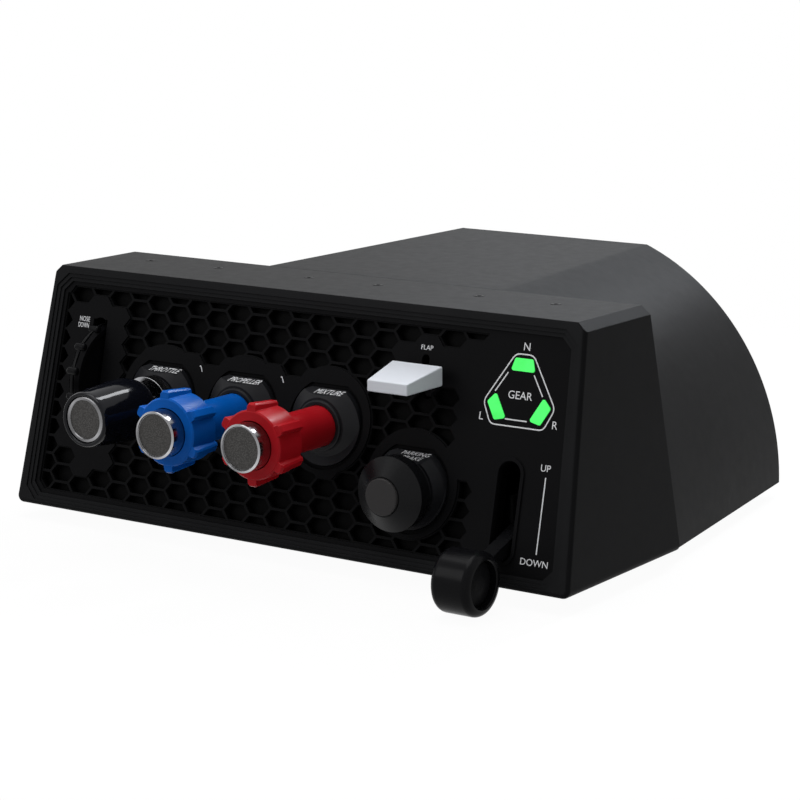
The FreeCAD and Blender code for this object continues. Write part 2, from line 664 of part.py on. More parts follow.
def make_controls_base():
    names = ("throttle", "propeller", "mixture")
    for name, x in zip(names, control_xs()):
        keep(f"{name}_collar", make_collar(x, AXIS_Z, COLLAR_FRONT_Y, COLLAR_NOSE_R, SLEEVE_R + GAP))
        make_barrel(name, x, AXIS_Z)
    keep("brake_collar", make_collar(BRAKE_X, BRAKE_Z, BRAKE_COLLAR_FRONT_Y, BRAKE_COLLAR_NOSE_R, SLEEVE_R + GAP))
    make_barrel("brake", BRAKE_X, BRAKE_Z)
    x = CONTROL_X0
    ferrule = turned([(0, FERRULE_R), (0, BARREL_R + 1), (1.2, BARREL_R + 1), (1.2, SHAFT_R + 1),
                      (FERRULE_LENGTH, SHAFT_R + 1), (FERRULE_LENGTH, FERRULE_R - 0.6),
                      (FERRULE_LENGTH - 0.8, FERRULE_R)],
                     Vector(x, COLLAR_FRONT_Y - GAP - FERRULE_LENGTH, AXIS_Z), Vector(0, 1, 0))
    plug = rod(x, AXIS_Z, COLLAR_FRONT_Y - GAP, COLLAR_FRONT_Y + 4, SLEEVE_R).cut(
        rod(x, AXIS_Z, -60, 0, SHAFT_R + 1))
    keep("throttle_ferrule", ferrule.fuse(plug).removeSplitter())


CARRIER_Y = 40.0
CARRIER_THICK = 4.0
NUT_ACROSS = 19.0
NUT_LENGTH = 5.0


def make_barrel(name, x, z):
    """Brass guide barrel with its flange and nut on the carrier."""
    barrel = rod(x, z, BARREL_FRONT_Y, CARRIER_Y + CARRIER_THICK + NUT_LENGTH + 2, BARREL_R)
    flange = rod(x, z, CARRIER_Y - 3.0, CARRIER_Y, BARREL_R + 4.0)
    bore = rod(x, z, BARREL_FRONT_Y - 1, 80, SHAFT_R + FIT)
    keep(f"{name}_guide", barrel.fuse(flange).cut(bore).removeSplitter())


def make_carrier():
    left = CONTROL_X0 - 18
    right = BRAKE_X + 18
    sheet = block(left, right, CARRIER_Y, CARRIER_Y + CARRIER_THICK, PLATE + PLATE_LIFT + GAP, AXIS_Z + 20)
    foot = block(left, right, CARRIER_Y + CARRIER_THICK, CARRIER_Y + 16, PLATE + PLATE_LIFT + GAP,
                 PLATE + PLATE_LIFT + GAP + 3)
    places = [*[(x, AXIS_Z) for x in control_xs()], (BRAKE_X, BRAKE_Z)]
    ribs = [block(x - 1.5, x + 1.5, CARRIER_Y + CARRIER_THICK, CARRIER_Y + 14, 5, 32)
            for x in (left + 1.5, CONTROL_X0 + 28, CONTROL_X0 + 84, right - 1.5)]
    holes = [rod(x, z, CARRIER_Y - 1, CARRIER_Y + 5, BARREL_R + FIT) for x, z in places]
    keep("control_carrier", sheet.fuse([foot, *ribs]).removeSplitter().cut(holes))
    nuts = []
    for x, z in places:
        nut = hex_prism(Vector(x, CARRIER_Y + CARRIER_THICK, z), NUT_ACROSS, NUT_LENGTH, Vector(0, 1, 0))
        nuts.append(nut.cut(rod(x, z, CARRIER_Y, 70, BARREL_R + FIT)))
    group("barrel_nuts", nuts)


# ---- vernier controls --------------------------------------------------------------------
def make_vernier(name, x):
    face_y0 = -REACH
    knob_front = face_y0 + BUTTON_STAND
    knob_back = knob_front + KNOB_LENGTH
    sleeve_back = knob_back + SLEEVE_SHOW + 7.0
    pocket = BUTTON_TRAVEL + 9.0
    button = turned([(CAP_DISH, 0), (CAP_DISH, CAP_R - CAP_RIM), (0, CAP_R - CAP_RIM + 0.4), (0, CAP_R - 0.4),
                     (0.6, CAP_R), (BUTTON_STAND + 4.0, CAP_R), (BUTTON_STAND + 4.0, 8.0),
                     (BUTTON_STAND - 3.0, 8.0), (BUTTON_STAND - 3.0, 0)],
                    Vector(x, face_y0, AXIS_Z), Vector(0, 1, 0))
    keep(f"{name}_button", button)
    wheel = turned([(0, CAP_R + GAP), (0, KNOB_FACE_R - 0.8), (0.8, KNOB_FACE_R), (KNOB_LENGTH - 2.0, KNOB_FACE_R),
                    (KNOB_LENGTH, KNOB_FACE_R - 2.0), (KNOB_LENGTH, SHAFT_R + GAP), (pocket, SHAFT_R + GAP),
                    (pocket, CAP_R + GAP)],
                   Vector(x, knob_front, AXIS_Z), Vector(0, 1, 0))
    ridges = []
    for i in range(RIDGES):
        ridge = frustum(ridge_section(0.3, KNOB_R - 0.8), ridge_section(1.5, KNOB_R)).fuse(
            frustum(ridge_section(1.5, KNOB_R), ridge_section(KNOB_LENGTH - 1.0, KNOB_BACK_R)))
        ridge.rotate(Vector(0, 0, 0), Vector(0, 1, 0), 90 - RIDGE_PHASE[name] - i * 360 / RIDGES)
        ridge.translate(Vector(x, knob_front, AXIS_Z))
        ridges.append(ridge)
    keep(f"{name}_knob", wheel.fuse(ridges).removeSplitter())
    sleeve = turned([(0, SLEEVE_R - SLEEVE_WALL), (0, SLEEVE_R), (sleeve_back - knob_back - GAP, SLEEVE_R),
                     (sleeve_back - knob_back - GAP, SLEEVE_R - SLEEVE_WALL)],
                    Vector(x, knob_back + GAP, AXIS_Z), Vector(0, 1, 0))
    keep(f"{name}_sleeve", sleeve)
    post = knob_front + pocket
    shaft_end = CARRIER_Y + CARRIER_THICK + NUT_LENGTH + VERNIER_OUT + 12
    shaft = turned([(0, 0), (0, 7.0), (-GAP - 1.0 + 2.8, 7.0), (1.8, SHAFT_R), (shaft_end - post, SHAFT_R),
                    (shaft_end - post, 2.6), (shaft_end - post - 5.0, 2.6), (shaft_end - post - 5.0, 0)],
                   Vector(x, post - 1.8 - GAP, AXIS_Z), Vector(0, 1, 0))
    keep(f"{name}_shaft", shaft)
    magnet = rod(x, AXIS_Z, shaft_end - 1.8 - GAP - 5.0 + GAP, shaft_end - 1.8 - GAP, 2.6 - 0.1)
    keep(f"{name}_magnet", magnet)


def ridge_section(y, top):
    """Upright section of a grip ridge whose crest is at radius top."""
    half = RIDGE_WIDTH / 2
    low = top - RIDGE_HEIGHT
    return [Vector(a, y, r) for a, r in ((-half, low), (half, low), (half - 0.5, top - 0.9), (half - 1.4, top),
                                         (-half + 1.4, top), (-half + 0.5, top - 0.9))]


# ---- throttle ------------------------------------------------------------------------
def make_throttle():
    x = CONTROL_X0
    front = THROTTLE_FACE_Y
    long = THROTTLE_LENGTH
    knob = turned([(0, THROTTLE_CAP_R + 0.8), (-0.6, THROTTLE_CAP_R + 1.4), (-0.6, THROTTLE_FRONT_R - 0.6),
                   (0.6, THROTTLE_FRONT_R), (long * 0.25, THROTTLE_FRONT_R + 0.9), (long * 0.5, THROTTLE_R - 0.4),
                   (long * 0.7, THROTTLE_R), (long * 0.82, THROTTLE_R - 0.5), (long * 0.92, THROTTLE_BACK_R + 1.9),
                   (long, THROTTLE_BACK_R), (long, SHAFT_R + GAP), (12, SHAFT_R + GAP),
                   (12, 8.0), (3.0, 8.0), (3.0, THROTTLE_CAP_R + 0.8)],
                  Vector(x, front, AXIS_Z), Vector(0, 1, 0))
    keep("throttle_knob", knob)
    cap = turned([(0.8, 0), (0.8, THROTTLE_CAP_R - 1.6), (0, THROTTLE_CAP_R - 1.2), (0, THROTTLE_CAP_R - 0.2),
                  (0.4, THROTTLE_CAP_R + 0.5), (3.0 - GAP, THROTTLE_CAP_R + 0.5), (3.0 - GAP, 0)],
                 Vector(x, front, AXIS_Z), Vector(0, 1, 0))
    keep("throttle_cap", cap)
    shaft_end = 52.0
    start = front + 5.0
    shaft = turned([(0, 0), (0, 7.6), (6.6, 7.6), (6.6, SHAFT_R), (shaft_end - start, SHAFT_R),
                    (shaft_end - start, 2.6), (shaft_end - start - 5.0, 2.6), (shaft_end - start - 5.0, 0)],
                   Vector(x, start, AXIS_Z), Vector(0, 1, 0))
    keep("throttle_shaft", shaft)
    keep("throttle_magnet", rod(x, AXIS_Z, shaft_end - 5.0 + GAP, shaft_end, 2.5))


# ---- parking brake -------------------------------------------------------------------
def make_brake():
    x = BRAKE_X
    front = BRAKE_FACE_Y
    cone_y = 1.5
    knob = turned([(3.0, 0), (3.0, BRAKE_DISC_R + GAP), (cone_y, BRAKE_DISC_R + GAP), (cone_y, BRAKE_DISC_R + 1.0),
                   (cone_y + BRAKE_CONE, BRAKE_R), (BRAKE_LENGTH - 1.0, BRAKE_R - 0.4), (BRAKE_LENGTH, BRAKE_R - 1.4),
                   (BRAKE_LENGTH, SHAFT_R + GAP), (8.0, SHAFT_R + GAP), (8.0, 0)],
                  Vector(x, front, BRAKE_Z), Vector(0, 1, 0))
    keep("brake_knob", knob)
    keep("brake_knob_disc", turned([(0, 0), (0, BRAKE_DISC_R - 0.5), (0.5, BRAKE_DISC_R), (3.0 - GAP, BRAKE_DISC_R),
                                    (3.0 - GAP, 0)], Vector(x, front, BRAKE_Z), Vector(0, 1, 0)))
    start = front + 8.0 + GAP
    end = CARRIER_Y + CARRIER_THICK + NUT_LENGTH + BRAKE_OUT + 8
    shaft = rod(x, BRAKE_Z, start, end, SHAFT_R)
    collar = rod(x, BRAKE_Z, end - 5.0, end - 1.0, SHAFT_R + 2.5)
    keep("brake_shaft", shaft.fuse(collar).removeSplitter())


# ---- landing gear lever --------------------------------------------------------------
def make_gear_lever():
    py, pz = GEAR_PIVOT
    half = GEAR_ARM_WIDTH / 2
    thick = GEAR_ARM_THICK / 2
    stem = frustum(arm_section(0, half, thick + 1.2), arm_section(GEAR_ARM - TYRE_R + 2.5, half - 0.8, thick))
    eye = Part.makeCylinder(7.0, 2 * half, Vector(-half, 0, 0), Vector(1, 0, 0))
    spigot = Part.makeCylinder(3.5, 6.0, Vector(0, -(GEAR_ARM - TYRE_R + 2.5), 0), Vector(0, -1, 0))
    arm = stem.fuse([eye, spigot]).cut(Part.makeCylinder(3.0 + FIT, 40, Vector(-20, 0, 0), Vector(1, 0, 0)))
    tyre = turned(tyre_profile(), Vector(-TYRE_WIDTH / 2, -GEAR_ARM, 0), Vector(1, 0, 0))
    sunk = Part.makeCylinder(3.5 + 0.1, 12.0, Vector(0, -(GEAR_ARM - TYRE_R + 2.8), 0), Vector(0, -1, 0))
    mouth = Part.makeCylinder(half + 3.2, 3.2, Vector(0, -(GEAR_ARM - TYRE_R - 0.2), 0), Vector(0, -1, 0))
    tyre = tyre.cut([sunk, mouth])
    hubs = []
    for side in (-1, 1):
        outer = side * (TYRE_WIDTH / 2 - HUB_DISH + GAP)
        hub = turned([(0, 0), (0, HUB_R - GAP), (1.2, HUB_R - GAP), (2.6, 4.0), (2.6, 0)],
                     Vector(outer, -GEAR_ARM, 0), Vector(side, 0, 0))
        hubs.append(hub)
    turn = Placement(Vector(GEAR_X, py, pz), Rotation(Vector(1, 0, 0), GEAR_DROP))
    keep("gear_lever", arm.removeSplitter())
    keep("gear_wheel_knob", tyre)
    group("gear_hub_caps", hubs)
    for name in ("gear_lever", "gear_wheel_knob", "gear_hub_caps"):
        pieces[name].Placement = turn.multiply(pieces[name].Placement)
    keep("gear_pivot_pin", cross_rod(GEAR_X - 14, GEAR_X + 14, py, pz, 3.0))
    keep("gear_bracket", gear_bracket(py, pz))


def arm_section(y, half, thick):
    return [Vector(-half, -y, -thick), Vector(half, -y, -thick), Vector(half, -y, thick), Vector(-half, -y, thick)]


def tyre_profile():
    """Section of the wheel-shaped knob: round shoulders, dished on both sides."""
    steps = 6
    points = [(HUB_DISH, 0), (HUB_DISH, HUB_R), (1.2, HUB_R + 0.3), (0.5, HUB_R + 1.2)]
    for i in range(steps + 1):
        angle = math.radians(180 - 90 * i / steps)
        points.append((TYRE_ROUND + TYRE_ROUND * math.cos(angle), TYRE_R - TYRE_ROUND + TYRE_ROUND * math.sin(angle)))
    mirrored = [(TYRE_WIDTH - a, r) for a, r in reversed(points)]
    return [*points, *mirrored]


def gear_bracket(py, pz):
    """Two ears on a foot that stands on the base plate."""
    low = PLATE + PLATE_LIFT + GAP
    ears = [block(GEAR_X + side * 11 - 2, GEAR_X + side * 11 + 2, py - 9, py + 12, low, pz + 9) for side in (-1, 1)]
    foot = block(GEAR_X - 18, GEAR_X + 18, py - 9, py + 26, low, low + 3)
    return ears[0].fuse([ears[1], foot]).removeSplitter().cut(cross_rod(GEAR_X - 30, GEAR_X + 30, py, pz, 3.0 + FIT))


# ---- flap paddle ---------------------------------------------------------------------
def make_flap():
    py, pz = FLAP_PIVOT
    ends = []
    for y, half, (z0, z1) in ((FLAP_FRONT_Y, FLAP_FRONT_HALF, FLAP_FRONT_Z), (FLAP_BACK_Y, FLAP_BACK_HALF, FLAP_BACK_Z)):
        corners = [(-half, z0), (half, z0), (half, z1), (-half, z1), (-half, z0)]
        ends.append(Part.makePolygon([Vector(FLAP_X + x, y, z) for x, z in corners]))
    wedge = Part.makeLoft(ends, True, True)
    wedge = wedge.makeFillet(PADDLE_ROUND, wedge.Edges)
    mid_z = (FLAP_BACK_Z[0] + FLAP_BACK_Z[1]) / 2
    low_z = mid_z - FLAP_TONGUE * 0.6
    high_z = low_z + FLAP_TONGUE
    socket = block(FLAP_X - 1.9, FLAP_X + 1.9, FLAP_BACK_Y - 8.3, FLAP_BACK_Y + 1, low_z - GAP, high_z + GAP)
    keep("flap_paddle", wedge.cut(socket))
    lever = polygon([Vector(FLAP_X - 1.7, y, z) for y, z in
                     ((FLAP_BACK_Y - 8, low_z), (FLAP_BACK_Y + GAP, low_z), (py, pz - 4.0),
                      (py, pz + 4.0), (FLAP_BACK_Y + GAP, high_z), (FLAP_BACK_Y - 8, high_z))])
    lever = lever.extrude(Vector(3.4, 0, 0)).fuse(cross_rod(FLAP_X - 1.7, FLAP_X + 1.7, py, pz, 5.5))
    keep("flap_lever", lever.removeSplitter().cut(cross_rod(FLAP_X - 9, FLAP_X + 9, py, pz, 2.0 + FIT)))
    keep("flap_pivot_pin", cross_rod(FLAP_X - 8, FLAP_X + 8, py, pz, 2.0))
    back = BEHIND_PANEL
    foot_y = face_y(pz, back)
    ears = [block(FLAP_X + side * 6 - 1.5, FLAP_X + side * 6 + 1.5, foot_y - 6, py + 7, pz - 7, pz + 7)
            for side in (-1, 1)]
    wing = on_face(plate([(FLAP_X + 4.5, face_v(foot_y, pz) - 12), (FLAP_X + 16, face_v(foot_y, pz) - 12),
                          (FLAP_X + 16, face_v(foot_y, pz) + 12), (FLAP_X + 4.5, face_v(foot_y, pz) + 12)],
                         -back - 2.5, -back))
    other = wing.mirror(Vector(FLAP_X, 0, 0), Vector(1, 0, 0))
    bracket = ears[0].fuse([ears[1], wing, other]).common(room_behind_panel())
    keep("flap_bracket", bracket.removeSplitter().cut(cross_rod(FLAP_X - 20, FLAP_X + 20, py, pz, 2.0 + FIT)))


# ---- trim wheel ----------------------------------------------------------------------
def gear_outline(teeth, module, width, x, y, z, phase):
    """Spur gear along X with straight-sided teeth."""
    pitch_r = teeth * module / 2
    root = pitch_r - 1.2 * module
    tip = pitch_r + 0.85 * module
    points = []
    for i in range(teeth):
        for share, radius in ((-0.32, root), (-0.12, tip), (0.12, tip), (0.32, root)):
            angle = 2 * math.pi * (i + share) / teeth + math.radians(phase)
            points.append(Vector(x, y + radius * math.cos(angle), z + radius * math.sin(angle)))
    return polygon(points).extrude(Vector(width, 0, 0))


def trim_gear_x():
    return TRIM_X + TRIM_WIDTH / 2 + 8


def make_trim():
    cy, cz = TRIM_CENTRE
    half = TRIM_WIDTH / 2
    edge_r = TRIM_R - TRIM_CROWN
    rim = turned([(0, TRIM_R - 5), (0, edge_r - 0.6), (0.6, edge_r), (2.0, TRIM_R - 0.4), (half, TRIM_R),
                  (TRIM_WIDTH - 2.0, TRIM_R - 0.4), (TRIM_WIDTH - 0.6, edge_r), (TRIM_WIDTH, edge_r - 0.6),
                  (TRIM_WIDTH, TRIM_R - 5), (TRIM_WIDTH - 1.2, TRIM_R - 6),
                  (TRIM_WIDTH - 1.2, 9.0), (TRIM_WIDTH, 8.0), (TRIM_WIDTH, 3.0 + FIT), (0, 3.0 + FIT),
                  (0, 8.0), (1.2, 9.0), (1.2, TRIM_R - 6)],
                 Vector(TRIM_X - half, cy, cz), Vector(1, 0, 0))
    studs = []
    flutes = []
    for i in range(TRIM_STUDS):
        angle = 2 * math.pi * (i + 0.85) / TRIM_STUDS
        stud = turned([(0, 0), (0, STUD_R - 1.1), (0.4, STUD_R - 0.4), (1.1, STUD_R), (TRIM_WIDTH - 1.1, STUD_R),
                       (TRIM_WIDTH - 0.4, STUD_R - 0.4), (TRIM_WIDTH, STUD_R - 1.1), (TRIM_WIDTH, 0)],
                      Vector(TRIM_R + TRIM_STUD - STUD_R, 0, -half), Vector(0, 0, 1))
        studs.append(spoke(stud, angle, cy, cz))
        for side in (-1, 1):
            groove = block(TRIM_R - 1.1, TRIM_R + 2, -5.0, 5.0, side * 1.3 - 0.5, side * 1.3 + 0.5)
            flutes.append(spoke(groove, angle + math.pi / TRIM_STUDS, cy, cz))
    keep("trim_wheel", rim.cut(flutes).fuse(studs).removeSplitter())
    keep("trim_axle", cross_rod(TRIM_X - 15.5, TRIM_X + 33, cy, cz, 3.0))
    teeth, pinion_teeth = TRIM_GEAR
    gear_x = trim_gear_x()
    drive = gear_outline(teeth, GEAR_MODULE, 4, gear_x, cy, cz, 0)
    keep("trim_gear", drive.cut(cross_rod(gear_x - 5, gear_x + 9, cy, cz, 3.0 + FIT)))
    distance = (teeth + pinion_teeth) / 2 * GEAR_MODULE + 0.15
    pinion_y = cy + distance
    pinion = gear_outline(pinion_teeth, GEAR_MODULE, 4, gear_x, pinion_y, cz, 180 + 180 / pinion_teeth)
    hub = cross_rod(gear_x + 4, gear_x + 7, pinion_y, cz, 2.6)
    keep("trim_sensor_gear", pinion.fuse(hub).removeSplitter().cut(
        cross_rod(gear_x - 5, gear_x + 9, pinion_y, cz, 1.5 + FIT)))
    sensor = block(gear_x + 8, gear_x + 15, pinion_y - 7, pinion_y + 7, cz - 7, cz + 7)
    sensor = sensor.fuse(cross_rod(gear_x - 3, gear_x + 8, pinion_y, cz, 1.5))
    keep("trim_sensor", sensor.removeSplitter())
    keep("trim_bracket", trim_bracket(cy, cz, gear_x, pinion_y))


def spoke(shape, angle, cy, cz):
    """Turn a shape drawn with the spoke along X and the axle along Z into place on the wheel."""
    moved = shape.copy()
    moved.rotate(Vector(0, 0, 0), Vector(0, 0, 1), math.degrees(angle))
    moved.rotate(Vector(0, 0, 0), Vector(0, 1, 0), 90)
    moved.translate(Vector(TRIM_X, cy, cz))
    return moved


def trim_bracket(cy, cz, gear_x, pinion_y):
    low = PLATE + PLATE_LIFT + GAP
    left = block(TRIM_X - 13, TRIM_X - 9, cy - 8, cy + 14, low, cz + 8)
    right = block(gear_x + 15 + GAP, gear_x + 19 + GAP, cy - 8, pinion_y + 9, low, cz + 9)
    foot = block(TRIM_X - 13, gear_x + 19 + GAP, cy - 8, cy + 14, low, low + 3)
    body = left.fuse([right, foot]).removeSplitter().common(room_behind_panel())
    return body.cut(cross_rod(TRIM_X - 30, TRIM_X + 60, cy, cz, 3.0 + FIT))


# ---- electronics -----------------------------------------------------------------------
def make_electronics():
    low = PLATE + PLATE_LIFT
    board_z = USB_Z - USB_HALF - GAP - BOARD
    board = block(-30, 90, 185, LENGTH - WALL - GAP, board_z, board_z + BOARD)
    posts = [(-24, 192), (84, 192), (-24, 250), (84, 250)]
    drill = [Part.makeCylinder(1.8, 20, Vector(x, y, low)) for x, y in posts]
    keep("main_board", board.cut(drill))
    pillars = []
    for x, y in posts:
        pillar = Part.makeCylinder(3.0, board_z - low - 2 * GAP, Vector(x, y, low + GAP))
        pillars.append(pillar.fuse(Part.makeCylinder(1.5, board_z - low + BOARD + 1, Vector(x, y, low + GAP))))
    group("board_pillars", pillars)
    shell = block(USB_X - 4.5, USB_X + 4.5, LENGTH - 9.5, LENGTH - 0.6, USB_Z - USB_HALF, USB_Z + USB_HALF)
    mouth = block(USB_X - 4.1, USB_X + 4.1, LENGTH - 8.5, LENGTH + 1, USB_Z - 1.2, USB_Z + 1.2)
    tongue = block(USB_X - 3.3, USB_X + 3.3, LENGTH - 9, LENGTH - 1.6, USB_Z - 0.35, USB_Z + 0.35)
    shell = shell.makeFillet(1.3, [e for e in shell.Edges if e.BoundBox.YLength > 5])
    keep("usb_socket", shell.cut(mouth).fuse(tongue).removeSplitter())


for step in (make_base_plates, make_feet, make_top_screws, make_lights, make_controls_base, make_carrier,
             make_throttle, make_brake, make_gear_lever, make_flap, make_trim, make_electronics):
    step()
keep("front_housing", make_front_housing())
keep("front_panel", make_front_panel())
keep("rear_housing", make_rear_housing())
for knob_name, knob_x in zip(("propeller", "mixture"), control_xs()[1:]):
    make_vernier(knob_name, knob_x)

os.makedirs("parts", exist_ok=True)
for piece_name, shape in pieces.items():
    placed = shape.copy()
    placed.translate(TO_ROW)
    placed.exportStep(os.path.join("parts", piece_name + ".step"))
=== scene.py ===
"""Looks of the push-pull engine control panel: finishes, legends, cap inlays, studio and camera."""
import json
import math

import bmesh
import bpy
from mathutils import Matrix, Vector


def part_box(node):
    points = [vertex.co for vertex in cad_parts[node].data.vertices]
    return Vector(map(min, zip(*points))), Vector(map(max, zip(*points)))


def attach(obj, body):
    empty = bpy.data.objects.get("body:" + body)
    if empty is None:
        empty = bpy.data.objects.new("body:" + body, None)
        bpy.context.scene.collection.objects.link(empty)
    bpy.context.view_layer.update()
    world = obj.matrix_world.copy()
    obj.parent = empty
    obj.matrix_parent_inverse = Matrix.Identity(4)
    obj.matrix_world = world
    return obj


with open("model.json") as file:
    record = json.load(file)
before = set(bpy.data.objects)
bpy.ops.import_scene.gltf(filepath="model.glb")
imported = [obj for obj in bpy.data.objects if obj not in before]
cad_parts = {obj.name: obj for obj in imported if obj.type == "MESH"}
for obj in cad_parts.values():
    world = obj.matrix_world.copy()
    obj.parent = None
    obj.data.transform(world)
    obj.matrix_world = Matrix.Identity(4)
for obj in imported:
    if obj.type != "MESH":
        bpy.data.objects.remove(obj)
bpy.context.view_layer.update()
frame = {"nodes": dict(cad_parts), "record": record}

# ---- measures (metres, degrees) --------------------------------------------------------
FACE_TILT = math.radians(12.47)     # the front leans back by this angle
PANEL_RECESS = 0.0025               # plain panel zones behind the front of the frame
INK = 0.00006                       # print stands this far off the panel
FOIL = 0.00002                      # thickness of the printed letters
CAP_TO_SIZE = 1.37                  # font size that gives capitals of unit height
CONTROL_SLANT = 0.22                # shear of the letters on the collars
LINE = 0.00036                      # half width of a printed line
FACET_SLOPE = math.radians(17)      # label facets on the collars fall forward by this angle
CONTROL_CHORD = 0.08848             # rear edge of the facets on the three engine controls, up the slope
BRAKE_CHORD = 0.06236               # the same on the parking brake
LEGEND_SHIFT = 0.0026               # the facets' legends sit a little right of the middle
CELL_FLOOR = 0.004                  # depth at which the painted shade in the honeycomb is darkest
CELL_RIM = 0.0006                   # depth down to which the honeycomb keeps its full tone, free of painted shade
NODE_WELD = 0.000002                # the solids' doubled vertices closer than this are joined
SHARP_EDGE = math.radians(32)       # edges that turn by more get a small bevel
FLOOR_RADIUS = 2.2
FLOOR_FADE = (0.3, 0.75)            # the floor fades into the backdrop between these radii


def box(node):
    """Lowest and highest corner of a CAD node."""
    low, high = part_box(node)
    return Vector(low), Vector(high)


def middle(node):
    low, high = box(node)
    return (low + high) / 2


FACE_FOOT = Vector((0, -0.11865, 0.0085))   # the tilted face's line on the housing's lower rim
UP_FACE = Vector((0, math.sin(FACE_TILT), math.cos(FACE_TILT)))
OUT_OF_FACE = Vector((0, -math.cos(FACE_TILT), math.sin(FACE_TILT)))


def on_panel(x, v, lift=INK):
    """Point on the plain panel zones: x across, v up the slope from the housing's foot."""
    return FACE_FOOT + Vector((x, 0, 0)) + UP_FACE * v + OUT_OF_FACE * (lift - PANEL_RECESS)


def face_matrix(x, v, lift=INK):
    """Frame whose X runs across the panel, Y up its slope and Z out of it."""
    turn = Matrix.Rotation(math.pi / 2 - FACE_TILT, 4, "X")
    return Matrix.Translation(on_panel(x, v, lift)) @ turn


# ---- materials ---------------------------------------------------------------------------
class Nodes:
    """A material with a Principled shader and short calls for the nodes that feed it."""

    def __init__(self, name):
        self.material = bpy.data.materials.new(name)
        self.material.use_nodes = True
        self.tree = self.material.node_tree
        self.shader = self.tree.nodes["Principled BSDF"]
        self.place = self.add("ShaderNodeTexCoord").outputs["Object"]

    def add(self, kind, **values):
        node = self.tree.nodes.new(kind)
        for key, value in values.items():
            setattr(node, key, value)
        return node

    def link(self, source, target):
        self.tree.links.new(source, target)

    def set(self, **values):
        for key, value in values.items():
            self.shader.inputs[key.replace("_", " ")].default_value = value

    def noise(self, scale, detail=3.0, roughness=0.5, place=None):
        node = self.add("ShaderNodeTexNoise")
        node.inputs["Scale"].default_value = scale
        node.inputs["Detail"].default_value = detail
        node.inputs["Roughness"].default_value = roughness
        self.link(place or self.place, node.inputs["Vector"])
        return node.outputs["Fac"]

    def voronoi(self, scale, feature="F1"):
        node = self.add("ShaderNodeTexVoronoi", feature=feature)
        node.inputs["Scale"].default_value = scale
        self.link(self.place, node.inputs["Vector"])
        return node.outputs["Distance"]

    def ramp(self, source, stops):
        node = self.add("ShaderNodeValToRGB")
        elements = node.color_ramp.elements
        while len(elements) < len(stops):
            elements.new(0.5)
        for element, (position, colour) in zip(elements, stops):
            element.position = position
            element.color = colour if len(colour) == 4 else (*colour, 1.0)
        self.link(source, node.inputs["Fac"])
        return node.outputs["Color"]

    def spread(self, source, low, high, start=0.3, stop=0.7):
        node = self.add("ShaderNodeMapRange")
        node.inputs["From Min"].default_value = start
        node.inputs["From Max"].default_value = stop
        node.inputs["To Min"].default_value = low
        node.inputs["To Max"].default_value = high
        self.link(source, node.inputs["Value"])
        return node.outputs["Result"]

    def bump(self, height, distance, strength=1.0, base=None):
        node = self.add("ShaderNodeBump")
        node.inputs["Distance"].default_value = distance
        node.inputs["Strength"].default_value = strength
        self.link(height, node.inputs["Height"])
        if base:
            self.link(base, node.inputs["Normal"])
        return node.outputs["Normal"]

    def along(self, source, direction):
        """Share of a position or normal along a fixed direction."""
        node = self.add("ShaderNodeVectorMath", operation="DOT_PRODUCT")
        node.inputs[1].default_value = direction
        self.link(source, node.inputs[0])
        return node.outputs["Value"]

    def tinted(self, source, factor):
        """Colour multiplied by a value."""
        node = self.add("ShaderNodeVectorMath", operation="SCALE")
        self.link(source, node.inputs[0])
        self.link(factor, node.inputs["Scale"])
        return node.outputs["Vector"]

    def feed(self, name, source):
        self.link(source, self.shader.inputs[name])


def shade(colour, factor):
    """Colour made darker or lighter, kept within range."""
    return tuple(min(1.0, channel * factor) for channel in colour)


def plastic(name, colour, rough, grain, grain_scale, specular=0.5, patch=0.08, shading=None):
    """Moulded plastic: spark-eroded grain, faint patches in colour and gloss.

    shading(nodes), where given, returns a factor of painted light and shade that tones the colour from
    place to place.
    """
    n = Nodes(name)
    patches = n.noise(28.0, 4.0)
    tone = n.ramp(patches, [(0.3, shade(colour, 1 - patch)), (0.7, shade(colour, 1 + patch))])
    n.feed("Base Color", n.tinted(tone, shading(n)) if shading else tone)
    n.feed("Roughness", n.spread(n.noise(160.0, 5.0), rough - 0.02, rough + 0.02))
    fine = n.bump(n.noise(grain_scale, 2.0), grain)
    n.feed("Normal", n.bump(patches, 0.00001, 1.0, fine))
    n.set(Specular_IOR_Level=specular)
    return n.material


def front_painted_light(n):
    """Painted light: the stepped frame round the panel, whose faces look out of it, is made a little paler
    than the sides and the top.
    """
    normal = n.add("ShaderNodeNewGeometry").outputs["True Normal"]
    return n.spread(n.along(normal, OUT_OF_FACE), 1.0, 1.9, 0.9, 0.99)


def cell_painted_shade(n):
    """Painted shade: the honeycomb darkens towards the floor of its cells."""
    depth = n.along(n.place, OUT_OF_FACE)
    front = FACE_FOOT.dot(OUT_OF_FACE) - PANEL_RECESS
    return n.spread(depth, 0.25, 1.0, front - CELL_FLOOR, front - CELL_RIM)


def rim_painted_reflection(n):
    """Painted reflection: a turned rim changes in tone round its ring, in bright and dark sectors."""
    centred = n.add("ShaderNodeMapping")
    centred.inputs["Location"].default_value = (-0.5, 0.5, 0.0)
    centred.inputs["Rotation"].default_value = (math.pi / 2, 0, 0)
    n.link(n.tree.nodes["Texture Coordinate"].outputs["Generated"], centred.inputs["Vector"])
    angle = n.add("ShaderNodeTexGradient", gradient_type="RADIAL")
    n.link(centred.outputs["Vector"], angle.inputs["Vector"])
    tones = [(at, (tone, tone, tone)) for at, tone in
             ((0.0, 0.45), (0.12, 0.95), (0.3, 0.4), (0.5, 0.6), (0.62, 1.1), (0.8, 0.35), (1.0, 0.45))]
    return n.ramp(angle.outputs["Color"], tones)


